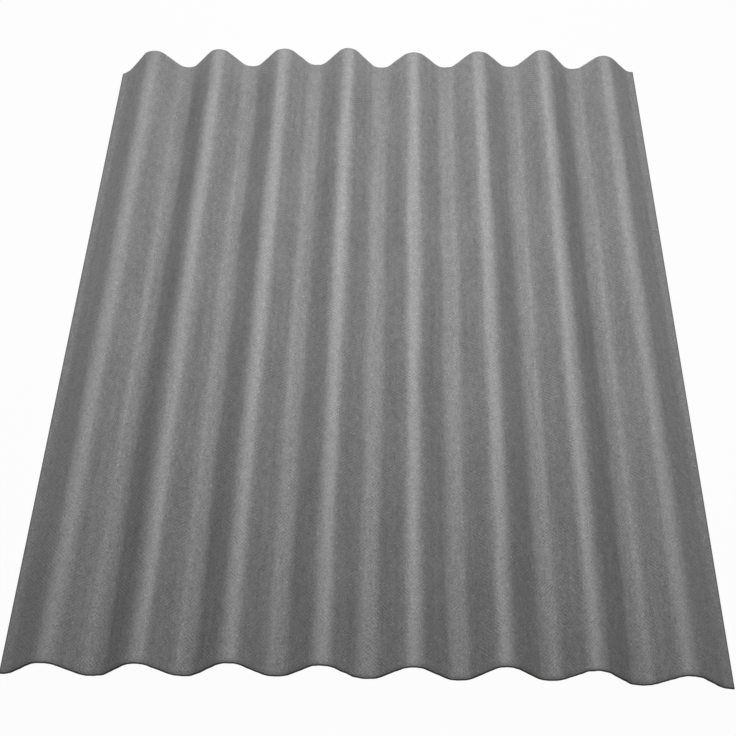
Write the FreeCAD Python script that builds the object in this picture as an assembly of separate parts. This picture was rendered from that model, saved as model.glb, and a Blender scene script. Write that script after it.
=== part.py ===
"""Corrugated bitumen roofing sheet, small format.

One moulded board of bitumen-soaked cellulose fibre, the same thickness all over, pressed into
parallel ribs that run the whole length. Each rib has a round crown and straight flanks, with a
narrow flat valley on each side. Both long edges are cut along the middle of a valley, and both
ends are cut square.

Frame, in millimetres: X across the ribs, Y along them, Z up. The origin is in the middle of the
sheet, on the level of the flat valley undersides. The coated weather face looks up.
"""

import FreeCAD, Part
import math
import os

# Driving dimensions
SHEET_LENGTH = 1000.0   # along the ribs
RIB_COUNT = 8
RIB_PITCH = 95.0        # crown to crown
OVERALL_HEIGHT = 32.0   # valley undersides to crown tops
BOARD_THICKNESS = 2.6
CROWN_RADIUS = 20.0     # of the board's middle surface, as is the next
VALLEY_RADIUS = 18.0    # on each side of the valley flat
VALLEY_FLAT = 4.0       # width of the flat strip along each valley

# Worked out from them
SHEET_WIDTH = RIB_COUNT * RIB_PITCH
HALF_BOARD = BOARD_THICKNESS / 2
VALLEY_CENTRE_Z = HALF_BOARD + VALLEY_RADIUS
CROWN_CENTRE_Z = OVERALL_HEIGHT - HALF_BOARD - CROWN_RADIUS


def flank_slope():
    """Slope of the straight flank that is tangent to a valley arc and a crown arc, in radians."""
    across = RIB_PITCH / 2 - VALLEY_FLAT / 2
    up = CROWN_CENTRE_Z - VALLEY_CENTRE_Z
    return math.atan2(up, across) + math.asin((VALLEY_RADIUS + CROWN_RADIUS) / math.hypot(across, up))


def section_point(x, z):
    """A point of the cross-section, which stands on the sheet's near end."""
    return FreeCAD.Vector(x, -SHEET_LENGTH / 2, z)


def on_circle(centre, radius, angle):
    """The section point at an angle in radians, turning from +X towards +Z."""
    return section_point(centre[0] + radius * math.cos(angle), centre[1] + radius * math.sin(angle))


def line(start, end):
    return Part.LineSegment(start, end).toShape()


def arc(centre, radius, start, end):
    return Part.Arc(*[on_circle(centre, radius, a) for a in (start, (start + end) / 2, end)]).toShape()


def rib_edges(crown_x, offset):
    """One rib's outline, left to right, between the flats of its two valleys.

    offset is the outline's distance above the board's middle surface, negative for the underside.
    """
    slope = flank_slope()
    bottom, top = -math.pi / 2, math.pi / 2
    to_valley = RIB_PITCH / 2 - VALLEY_FLAT / 2
    left = (crown_x - to_valley, VALLEY_CENTRE_Z)
    right = (crown_x + to_valley, VALLEY_CENTRE_Z)
    crown = (crown_x, CROWN_CENTRE_Z)
    valley_radius = VALLEY_RADIUS - offset
    crown_radius = CROWN_RADIUS + offset
    return [
        arc(left, valley_radius, bottom, bottom + slope),
        line(on_circle(left, valley_radius, bottom + slope), on_circle(crown, crown_radius, top + slope)),
        arc(crown, crown_radius, top + slope, top - slope),
        line(on_circle(crown, crown_radius, top - slope), on_circle(right, valley_radius, bottom - slope)),
        arc(right, valley_radius, bottom - slope, bottom),
    ]


def face_edges(offset):
    """The whole outline of the weather face or the underside, with the valley flats between ribs."""
    floor = HALF_BOARD + offset
    edges = []
    flat_start = -SHEET_WIDTH / 2
    for rib in range(RIB_COUNT):
        crown_x = -SHEET_WIDTH / 2 + (rib + 0.5) * RIB_PITCH
        flat_end = crown_x - RIB_PITCH / 2 + VALLEY_FLAT / 2
        edges.append(line(section_point(flat_start, floor), section_point(flat_end, floor)))
        edges += rib_edges(crown_x, offset)
        flat_start = crown_x + RIB_PITCH / 2 - VALLEY_FLAT / 2
    edges.append(line(section_point(flat_start, floor), section_point(SHEET_WIDTH / 2, floor)))
    return edges


def long_edge(x):
    """The cut through the board along one long side."""
    return line(section_point(x, 0), section_point(x, BOARD_THICKNESS))


def corrugated_sheet():
    outline = face_edges(HALF_BOARD) + face_edges(-HALF_BOARD)
    outline += [long_edge(-SHEET_WIDTH / 2), long_edge(SHEET_WIDTH / 2)]
    section = Part.Face(Part.Wire(Part.__sortEdges__(outline)))
    return section.extrude(FreeCAD.Vector(0, SHEET_LENGTH, 0))


os.makedirs("parts", exist_ok=True)
corrugated_sheet().exportStep("parts/corrugated_sheet.step")
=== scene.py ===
import math

import bpy
from mathutils import Matrix, Vector, noise


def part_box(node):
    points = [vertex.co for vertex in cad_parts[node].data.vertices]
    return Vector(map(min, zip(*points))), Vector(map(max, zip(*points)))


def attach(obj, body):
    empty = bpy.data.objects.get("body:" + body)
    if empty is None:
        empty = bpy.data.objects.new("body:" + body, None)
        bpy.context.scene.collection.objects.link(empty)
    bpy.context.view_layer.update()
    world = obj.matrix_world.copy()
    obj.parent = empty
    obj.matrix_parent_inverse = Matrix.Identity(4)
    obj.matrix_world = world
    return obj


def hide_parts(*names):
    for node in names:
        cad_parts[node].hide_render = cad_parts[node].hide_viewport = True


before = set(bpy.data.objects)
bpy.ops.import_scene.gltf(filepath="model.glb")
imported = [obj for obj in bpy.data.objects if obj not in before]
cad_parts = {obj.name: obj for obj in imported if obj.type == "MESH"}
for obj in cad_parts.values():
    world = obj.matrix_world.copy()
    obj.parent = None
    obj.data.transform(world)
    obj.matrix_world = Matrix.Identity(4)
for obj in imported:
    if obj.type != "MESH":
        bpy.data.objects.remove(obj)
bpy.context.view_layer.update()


# The corrugated sheet. One board of bitumen-soaked cellulose fibre, pressed hot over a wire screen
# into eight ribs with round crowns, straight flanks and narrow flat valleys, then cut to length.
# It is limp, so its ribs stand a little uneven and the cuts across its ends wander by millimetres.

mm = 0.001
sheet_low, sheet_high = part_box("corrugated_sheet")
sheet_width = sheet_high.x - sheet_low.x
sheet_length = sheet_high.y - sheet_low.y
rib_count = 8
rib_pitch = sheet_width / rib_count
board_thickness = 2.6 * mm
crown_radius = 20.0 * mm     # of the board's middle surface, as is the next
valley_radius = 18.0 * mm
valley_flat = 4.0 * mm
valley_level = sheet_low.z + board_thickness / 2
crown_level = sheet_high.z - board_thickness / 2

# Steps of the mesh: round a valley, up a flank and round a crown of half a rib, and along the sheet
valley_steps = 4
flank_steps = 6
crown_steps = 5
rows = 168


def flank_slope():
    """Slope of the straight flank between a valley's round and a crown's round, in radians."""
    across = rib_pitch / 2 - valley_flat / 2
    up = (crown_level - crown_radius) - (valley_level + valley_radius)
    return math.atan2(up, across) + math.asin((valley_radius + crown_radius) / math.hypot(across, up))


def half_rib():
    """The board's middle line from the middle of a valley up to a crown, as (across, up) points."""
    slope = flank_slope()
    points = [(0.0, valley_level)]
    for step in range(valley_steps + 1):
        turn = slope * step / valley_steps
        across = valley_flat / 2 + valley_radius * math.sin(turn)
        points.append((across, valley_level + valley_radius * (1 - math.cos(turn))))
    foot_across, foot_up = points[-1]
    shoulder_across = rib_pitch / 2 - crown_radius * math.sin(slope)
    shoulder_up = crown_level - crown_radius * (1 - math.cos(slope))
    for step in range(1, flank_steps):
        share = step / flank_steps
        across = foot_across + (shoulder_across - foot_across) * share
        points.append((across, foot_up + (shoulder_up - foot_up) * share))
    for step in range(crown_steps + 1):
        turn = slope * (1 - step / crown_steps)
        across = rib_pitch / 2 - crown_radius * math.sin(turn)
        points.append((across, crown_level - crown_radius * (1 - math.cos(turn))))
    return points


def sheet_outline():
    """The middle line of the whole sheet from its left edge to its right edge, as (x, z) points."""
    rising = half_rib()
    falling = [(rib_pitch - across, up) for across, up in reversed(rising[:-1])]
    outline = [(sheet_low.x, valley_level)]
    for rib in range(rib_count):
        rib_left = sheet_low.x + rib * rib_pitch
        outline += [(rib_left + across, up) for across, up in (rising + falling)[1:]]
    return outline


# Unevenness in millimetres: how far each crown stands off its true height, and how far each valley
# lies off its true place across the sheet and each end's cut off its true place along it
crown_lift_near = (-2.5, -2.0, -0.5, -2.5, -3.0, 0.5, -2.5, -5.0)
crown_lift_far = (0.5, 2.5, 2.0, 4.5, -1.0, -0.5, 3.5, -2.0)
valley_drift_near = (0.0, 1.0, 1.0, 1.5, 1.5, 1.5, 1.5, 1.0, 0.0)
valley_drift_far = (0.0, 1.5, 2.0, 3.0, 4.5, 6.0, 6.5, 5.0, 0.0)
cut_near = (-2.0, -2.5, -1.0, 0.5, -0.5, -0.5, 1.0, -2.5, -5.0)
cut_far = (-7.0, -7.5, -3.0, 2.0, -2.5, 0.0, 3.5, 0.5, -5.0)
corner_loss = 18.0 * mm      # the far left corner is cut back by this, over the width below
corner_width = 34.0 * mm
ragged = 0.6 * mm            # how far a cut end's fibres stand out and in
ragged_width = 6.0 * mm
waves = ((1.1 * mm, 150.0 * mm), (0.35 * mm, 45.0 * mm))    # the pressed surface's height and length
noise.seed_set(1)            # without this the waves would be drawn anew from the clock in every run


def between(values, place):
    """A smooth reading, in metres, between evenly spaced values; place counts steps from the first."""
    place = min(max(place, 0.0), len(values) - 1.0)
    start = min(int(place), len(values) - 2)
    share = place - start
    share = share * share * (3 - 2 * share)
    return (values[start] * (1 - share) + values[start + 1] * share) * mm


def cut_line(x, wander, seed):
    """How far the cut at x stands off the sheet's true end, torn fibres included."""
    torn = ragged * noise.noise(Vector((x / ragged_width, seed, 0.0)))
    return between(wander, (x - sheet_low.x) / rib_pitch) + torn


def board_point(x, z, along):
    """A point of the middle surface. along runs from 0 at the near end to 1 at the far end."""
    valleys_in = (x - sheet_low.x) / rib_pitch
    crowns_in = valleys_in - 0.5
    height = (z - valley_level) / (crown_level - valley_level)
    into_corner = max(0.0, 1 - (x - sheet_low.x) / corner_width)
    near_y = sheet_low.y + cut_line(x, cut_near, 3.0)
    far_y = sheet_high.y + cut_line(x, cut_far, 11.0) - corner_loss * into_corner
    y = near_y + (far_y - near_y) * along
    lift = between(crown_lift_near, crowns_in) * (1 - along) + between(crown_lift_far, crowns_in) * along
    near_drift = between(valley_drift_near, valleys_in)
    far_drift = between(valley_drift_far, valleys_in)
    drift = near_drift * (1 - along) + far_drift * along
    waver = Vector()
    for wave_height, wave_length in waves:
        waver += noise.noise_vector(Vector((x / wave_length * 2, y / wave_length, 5.0))) * wave_height
    inside = min(1.0, (sheet_width / 2 - abs(x)) / (rib_pitch / 4))
    return Vector((x + drift + waver.x * inside, y, z + height * (lift + waver.z)))


outline = sheet_outline()
columns = len(outline)
developed = [0.0]
for (x0, z0), (x1, z1) in zip(outline, outline[1:]):
    developed.append(developed[-1] + math.hypot(x1 - x0, z1 - z0))
board_width = developed[-1]
rib_girth = board_width / rib_count

points = []
for row in range(rows + 1):
    points += [board_point(x, z, row / rows) for x, z in outline]
faces = []
for row in range(rows):
    for column in range(columns - 1):
        corner = row * columns + column
        faces.append((corner, corner + 1, corner + 1 + columns, corner + columns))
board = bpy.data.meshes.new("corrugated_board")
board.from_pydata(points, [], faces)
board.shade_smooth()

# The board laid out flat, in metres, with its middle at zero: every pattern of the finish lies on this
flat_board = board.uv_layers.new(name="flat_board")
for loop in board.loops:
    row, column = divmod(loop.vertex_index, columns)
    flat_place = (developed[column] - board_width / 2, (row / rows - 0.5) * sheet_length)
    flat_board.uv[loop.index].vector = flat_place

sheet = bpy.data.objects.new("weathered_sheet", board)
bpy.context.scene.collection.objects.link(sheet)
thicken = sheet.modifiers.new("board thickness", "SOLIDIFY")
thicken.thickness = board_thickness
thicken.offset = 0.0
thicken.use_even_offset = True
thicken.material_offset = 1
thicken.material_offset_rim = 2
soften = sheet.modifiers.new("worn arrises", "BEVEL")
soften.width = 0.5 * mm
soften.segments = 1
soften.limit_method = "ANGLE"
soften.angle_limit = math.radians(60)
soften.material = 2


wire_gap = 3.2 * mm           # between the forming screen's wires
imprint_patch = 50.0 * mm     # size of the patches where one set of its wires shows, or the other
coat_dark = (0.10, 0.10, 0.10)
coat_light = (0.42, 0.42, 0.42)
bitumen_dark = (0.018, 0.016, 0.015)
bitumen_light = (0.060, 0.055, 0.050)
fibre_dark = (0.060, 0.057, 0.053)
fibre_light = (0.150, 0.145, 0.138)


def new_finish(name, roughness, sheen_of_surface):
    """A material whose numbers that hold all over are set on its shader. Returns it and its tree."""
    finish = bpy.data.materials.new(name)
    finish.use_nodes = True
    shader = finish.node_tree.nodes["Principled BSDF"]
    shader.inputs["Roughness"].default_value = roughness
    shader.inputs["Specular IOR Level"].default_value = sheen_of_surface
    return finish, finish.node_tree


def flat_place_of(tree):
    """Where on the laid-out board a point is, in metres."""
    place = tree.nodes.new("ShaderNodeUVMap")
    place.uv_map = "flat_board"
    return place.outputs["UV"]


def directions_of(tree, place):
    """How far a point is across the laid-out board and along it, from the middle."""
    apart = tree.nodes.new("ShaderNodeSeparateXYZ")
    tree.links.new(place, apart.inputs["Vector"])
    return apart.outputs["X"], apart.outputs["Y"]


def grain(tree, place, across, along, detail=2.0, turn=0.0):
    """Soft random grain whose lumps are so many metres across and along the ribs, from 0 to 1."""
    scaled = tree.nodes.new("ShaderNodeMapping")
    scaled.vector_type = "TEXTURE"
    scaled.inputs["Rotation"].default_value = (0.0, 0.0, turn)
    scaled.inputs["Scale"].default_value = (across, along, 1.0)
    lumps = tree.nodes.new("ShaderNodeTexNoise")
    lumps.noise_dimensions = "2D"
    lumps.inputs["Scale"].default_value = 1.0
    lumps.inputs["Detail"].default_value = detail
    tree.links.new(place, scaled.inputs["Vector"])
    tree.links.new(scaled.outputs["Vector"], lumps.inputs["Vector"])
    return lumps.outputs["Fac"]


def calculate(tree, operation, *values):
    """A Math node on sockets and numbers."""
    node = tree.nodes.new("ShaderNodeMath")
    node.operation = operation
    for value, socket in zip(values, node.inputs):
        if isinstance(value, (int, float)):
            socket.default_value = value
        else:
            tree.links.new(value, socket)
    return node.outputs["Value"]


def add_up(tree, start, terms):
    """A number plus each pattern, from 0 to 1, taken about its middle and times its strength."""
    total = start - sum(strength for pattern, strength in terms) / 2
    for pattern, strength in terms:
        total = calculate(tree, "MULTIPLY_ADD", pattern, strength, total)
    return total


def where(tree, pattern, patches):
    """The pattern where the patches are 1, a third of it where they are 0, about the same middle."""
    strength = calculate(tree, "MULTIPLY_ADD", patches, 0.67, 0.33)
    off_middle = calculate(tree, "SUBTRACT", pattern, 0.5)
    return calculate(tree, "MULTIPLY_ADD", off_middle, strength, 0.5)


def between_shades(tree, tone, dark, light):
    """The colour from dark, at a tone of 0, to light, at a tone of 1."""
    mix = tree.nodes.new("ShaderNodeMix")
    mix.data_type = "RGBA"
    mix.inputs["A"].default_value = (*dark, 1.0)
    mix.inputs["B"].default_value = (*light, 1.0)
    tree.links.new(tone, mix.inputs["Factor"])
    return mix.outputs["Result"]


def mix_colours(tree, share, first, second):
    """The first colour where the share is 0, and the second where it is 1."""
    mix = tree.nodes.new("ShaderNodeMix")
    mix.data_type = "RGBA"
    tree.links.new(share, mix.inputs["Factor"])
    tree.links.new(first, mix.inputs["A"])
    tree.links.new(second, mix.inputs["B"])
    return mix.outputs["Result"]


def emboss(tree, height_in_mm):
    """Gives the surface a relief whose height is in millimetres."""
    bump = tree.nodes.new("ShaderNodeBump")
    bump.inputs["Strength"].default_value = 1.0
    bump.inputs["Distance"].default_value = mm
    tree.links.new(height_in_mm, bump.inputs["Height"])
    tree.links.new(bump.outputs["Normal"], tree.nodes["Principled BSDF"].inputs["Normal"])


def fade(tree, value, none_at, full_at):
    """0 where the value is at or past none_at, rising smoothly to 1 at full_at."""
    ramp = tree.nodes.new("ShaderNodeMapRange")
    ramp.interpolation_type = "SMOOTHSTEP"
    ramp.inputs["From Min"].default_value = none_at
    ramp.inputs["From Max"].default_value = full_at
    tree.links.new(value, ramp.inputs["Value"])
    return ramp.outputs["Result"]


def screen_imprint(tree, place):
    """The print of the forming screen's slanting wires, from 0 to 1, one way or the other by patches."""
    patches = fade(tree, grain(tree, place, imprint_patch, imprint_patch), 0.4, 0.6)
    across, along = directions_of(tree, place)
    prints = []
    for slant in ("ADD", "SUBTRACT"):
        across_wires = calculate(tree, slant, across, along)
        turns = calculate(tree, "MULTIPLY", across_wires, math.sqrt(2) * math.pi / wire_gap)
        prints.append(calculate(tree, "COSINE", turns))
    difference = calculate(tree, "SUBTRACT", *prints)
    either = calculate(tree, "MULTIPLY_ADD", difference, patches, prints[1])
    return calculate(tree, "MULTIPLY_ADD", either, 0.5, 0.5)


def from_valley(tree, place):
    """How far a point is, along the laid-out board, from the middle of the nearest valley."""
    across, along = directions_of(tree, place)
    return calculate(tree, "PINGPONG", across, rib_girth / 2)


def specks(tree, place, apart, size):
    """1 on small round specks, strewn at random about so far apart, and 0 off them."""
    scaled = tree.nodes.new("ShaderNodeMapping")
    scaled.vector_type = "TEXTURE"
    scaled.inputs["Scale"].default_value = (apart, apart, 1.0)
    strewn = tree.nodes.new("ShaderNodeTexVoronoi")
    strewn.voronoi_dimensions = "2D"
    strewn.inputs["Scale"].default_value = 1.0
    tree.links.new(place, scaled.inputs["Vector"])
    tree.links.new(scaled.outputs["Vector"], strewn.inputs["Vector"])
    return fade(tree, strewn.outputs["Distance"], 0.7 * size / apart, 0.3 * size / apart)


def chipped_edge(tree, place, side_reach, end_reach, fuzz):
    """1 within reach of the sheet's long sides and its ends, as far as the fuzz lets it, and 0 inside."""
    across, along = directions_of(tree, place)
    sides = (across, board_width / 2, side_reach)
    ends = (along, sheet_length / 2, end_reach)
    from_edges = []
    for direction, half, reach in (sides, ends):
        off_middle = calculate(tree, "ABSOLUTE", direction)
        off_edge = calculate(tree, "SUBTRACT", half, off_middle)
        from_edges.append(calculate(tree, "DIVIDE", off_edge, reach))
    nearest = calculate(tree, "MINIMUM", *from_edges)
    return calculate(tree, "LESS_THAN", nearest, fuzz)


def weather_coat():
    """Sprayed grey mineral paint, thin enough for the screen's imprint and the fibres to show."""
    finish, tree = new_finish("weather coat", 0.6, 0.75)
    place = flat_place_of(tree)
    shader = tree.nodes["Principled BSDF"]
    coarse = grain(tree, place, 3.0 * mm, 3.0 * mm)
    fine = grain(tree, place, 1.1 * mm, 1.1 * mm)
    fibres = grain(tree, place, 1.2 * mm, 6.0 * mm, turn=math.radians(35))
    cross_fibres = grain(tree, place, 1.2 * mm, 6.0 * mm, turn=math.radians(-40))
    mottle = grain(tree, place, 9.0 * mm, 13.0 * mm)
    streaks = grain(tree, place, 10 * mm, 240 * mm)
    blotches = grain(tree, place, 45 * mm, 90 * mm)
    imprint = screen_imprint(tree, place)
    flecks = specks(tree, place, 21 * mm, 1.8 * mm)
    pits = specks(tree, place, 12 * mm, 1.4 * mm)
    rough_patches = fade(tree, grain(tree, place, 22 * mm, 34 * mm), 0.35, 0.65)
    up_rib = from_valley(tree, place)
    # painted highlight: the coat is made lighter along each crown
    painted_crown_highlight = fade(tree, up_rib, rib_girth / 2 - 12 * mm, rib_girth / 2 - 2 * mm)
    # painted shade: the coat is made darker in the middle of each valley
    painted_valley_shade = fade(tree, up_rib, 10 * mm, 1 * mm)
    # painted shade: the coat is made darker from partway up each flank to the crown
    painted_flank_shade = fade(tree, up_rib, 14 * mm, 34 * mm)
    tone = add_up(tree, 0.48, [
        (coarse, 0.40), (where(tree, fine, rough_patches), 1.50), (fibres, 0.28),
        (cross_fibres, 0.28), (where(tree, imprint, rough_patches), 0.19), (mottle, 0.30),
        (streaks, 0.22), (blotches, 0.22), (flecks, 0.40), (pits, -0.25),
        (painted_crown_highlight, 0.23), (painted_valley_shade, -0.07), (painted_flank_shade, -0.065)])
    paint = between_shades(tree, tone, coat_dark, coat_light)
    bare = between_shades(tree, fine, fibre_dark, fibre_light)
    chipped = chipped_edge(tree, place, 2.4 * mm, 1.8 * mm, coarse)
    tree.links.new(mix_colours(tree, chipped, paint, bare), shader.inputs["Base Color"])
    tree.links.new(add_up(tree, 0.6, [(coarse, -0.25), (blotches, 0.15)]), shader.inputs["Roughness"])
    emboss(tree, add_up(tree, 0.0, [
        (coarse, 0.30), (fine, 0.15), (fibres, 0.15), (cross_fibres, 0.15), (imprint, 0.05),
        (mottle, 0.40)]))
    return finish


def bare_underside():
    """Unpainted board: black-brown bitumen between pressed fibres, with the screen's imprint."""
    finish, tree = new_finish("bare underside", 0.75, 0.4)
    place = flat_place_of(tree)
    shader = tree.nodes["Principled BSDF"]
    coarse = grain(tree, place, 3.5 * mm, 3.5 * mm, detail=3.0)
    fibres = grain(tree, place, 0.8 * mm, 6.0 * mm, turn=math.radians(25))
    cross_fibres = grain(tree, place, 0.8 * mm, 6.0 * mm, turn=math.radians(-50))
    blotches = grain(tree, place, 70 * mm, 120 * mm)
    imprint = screen_imprint(tree, place)
    tone = add_up(tree, 0.45, [
        (coarse, 0.6), (fibres, 0.5), (cross_fibres, 0.5), (imprint, 0.2), (blotches, 0.5)])
    tree.links.new(between_shades(tree, tone, bitumen_dark, bitumen_light), shader.inputs["Base Color"])
    tree.links.new(add_up(tree, 0.75, [(blotches, -0.3), (coarse, 0.2)]), shader.inputs["Roughness"])
    emboss(tree, add_up(tree, 0.0, [
        (coarse, 0.35), (fibres, 0.2), (cross_fibres, 0.2), (imprint, 0.15)]))
    return finish


def cut_edge():
    """The board's section where a knife went through it: dark, matted fibres in thin layers."""
    finish, tree = new_finish("cut edge", 0.9, 0.3)
    shader = tree.nodes["Principled BSDF"]
    surface = tree.nodes.new("ShaderNodeTexCoord")
    stretched = tree.nodes.new("ShaderNodeMapping")
    stretched.vector_type = "TEXTURE"
    stretched.inputs["Scale"].default_value = (3.0 * mm, 3.0 * mm, 0.5 * mm)
    layers = tree.nodes.new("ShaderNodeTexNoise")
    layers.inputs["Scale"].default_value = 1.0
    layers.inputs["Detail"].default_value = 4.0
    tree.links.new(surface.outputs["Object"], stretched.inputs["Vector"])
    tree.links.new(stretched.outputs["Vector"], layers.inputs["Vector"])
    tone = add_up(tree, 0.5, [(layers.outputs["Fac"], 2.0)])
    tree.links.new(between_shades(tree, tone, fibre_dark, fibre_light), shader.inputs["Base Color"])
    emboss(tree, add_up(tree, 0.0, [(layers.outputs["Fac"], 0.4)]))
    return finish


for finish in (weather_coat(), bare_underside(), cut_edge()):
    board.materials.append(finish)

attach(sheet, "root")
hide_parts("corrugated_sheet")


# The studio floor. A plain white sheet of board that the roofing sheet lies on. It is lit to a pale
# grey and shows its own white besides, so that only the sheet's soft shadow stands out from it.

floor_half = 6.0             # metres from the middle to each side
floor_level = sheet_low.z - 0.1 * mm     # a hair below, so that the two surfaces don't lie in one plane
floor_colour = (0.55, 0.55, 0.55, 1.0)
floor_own_white = 0.97


def seen_ray(tree):
    """1 for rays from the camera and rays that a gloss or a glass sends on, and 0 for the light's."""
    rays = tree.nodes.new("ShaderNodeLightPath")
    either = calculate(tree, "MAXIMUM", rays.outputs["Is Camera Ray"], rays.outputs["Is Glossy Ray"])
    return calculate(tree, "MAXIMUM", either, rays.outputs["Is Transmission Ray"])


def mix_shaders(tree, share, first, second, end):
    mix = tree.nodes.new("ShaderNodeMixShader")
    tree.links.new(share, mix.inputs["Fac"])
    tree.links.new(first, mix.inputs[1])
    tree.links.new(second, mix.inputs[2])
    tree.links.new(mix.outputs["Shader"], end.inputs["Surface"])


floor_mesh = bpy.data.meshes.new("studio_floor")
floor_corners = [(-floor_half, -floor_half, floor_level), (floor_half, -floor_half, floor_level),
                 (floor_half, floor_half, floor_level), (-floor_half, floor_half, floor_level)]
floor_mesh.from_pydata(floor_corners, [], [(0, 1, 2, 3)])
floor = bpy.data.objects.new("studio_floor", floor_mesh)
bpy.context.scene.collection.objects.link(floor)
floor_finish = bpy.data.materials.new("white floor")
floor_finish.use_nodes = True
floor_tree = floor_finish.node_tree
floor_tree.nodes.clear()
floor_paint = floor_tree.nodes.new("ShaderNodeBsdfDiffuse")
floor_paint.inputs["Color"].default_value = floor_colour
floor_white = floor_tree.nodes.new("ShaderNodeEmission")
floor_white_share = calculate(floor_tree, "MULTIPLY", seen_ray(floor_tree), floor_own_white)
floor_end = floor_tree.nodes.new("ShaderNodeOutputMaterial")
mix_shaders(floor_tree, floor_white_share, floor_paint.outputs["BSDF"], floor_white.outputs["Emission"],
            floor_end)
floor_mesh.materials.append(floor_finish)


# The studio light. A long soft box hangs level, some 85 cm above the sheet and nearer to its far end
# than to its near one. The white room around gives a faint even fill.

soft_box_width = 0.6
soft_box_length = 1.3
soft_box_place = (0.03, 0.4, 0.85)
soft_box_watts = 9.9
room_fill = 0.10
room_colour = (1.0, 1.0, 1.0, 1.0)

lamp = bpy.data.lights.new("soft box", "AREA")
lamp.shape = "RECTANGLE"
lamp.size = soft_box_width
lamp.size_y = soft_box_length
lamp.energy = soft_box_watts
soft_box = bpy.data.objects.new("soft box", lamp)
bpy.context.scene.collection.objects.link(soft_box)
soft_box.location = soft_box_place

room = bpy.data.worlds.new("white room")
bpy.context.scene.world = room
room.use_nodes = True
room_tree = room.node_tree
room_tree.nodes.clear()
room_light = room_tree.nodes.new("ShaderNodeBackground")
room_light.inputs["Strength"].default_value = room_fill
room_white = room_tree.nodes.new("ShaderNodeBackground")
room_end = room_tree.nodes.new("ShaderNodeOutputWorld")
room_light.inputs["Color"].default_value = room_colour
room_white.inputs["Color"].default_value = room_colour
mix_shaders(room_tree, seen_ray(room_tree), room_light.outputs["Background"],
            room_white.outputs["Background"], room_end)
bpy.context.scene.view_settings.view_transform = "Standard"


# The camera. It stands in front of the sheet's near end and well above it, and looks down along the
# ribs on the middle of the sheet, so that both cut ends and both long sides are in view.

camera_place = (0.011, -1.151, 1.298)
look_down = math.radians(50.56)
turn_left = math.radians(0.86)
tilt = math.radians(0.21)

camera_data = bpy.data.cameras.new("camera")
camera_data.lens = 66.9
camera_data.sensor_width = 36.0
camera = bpy.data.objects.new("camera", camera_data)
bpy.context.scene.collection.objects.link(camera)
camera.location = camera_place
aim = Matrix.Rotation(turn_left, 3, "Z") @ Matrix.Rotation(math.pi / 2 - look_down, 3, "X")
camera.rotation_euler = (aim @ Matrix.Rotation(tilt, 3, "Z")).to_euler()
bpy.context.scene.camera = camera
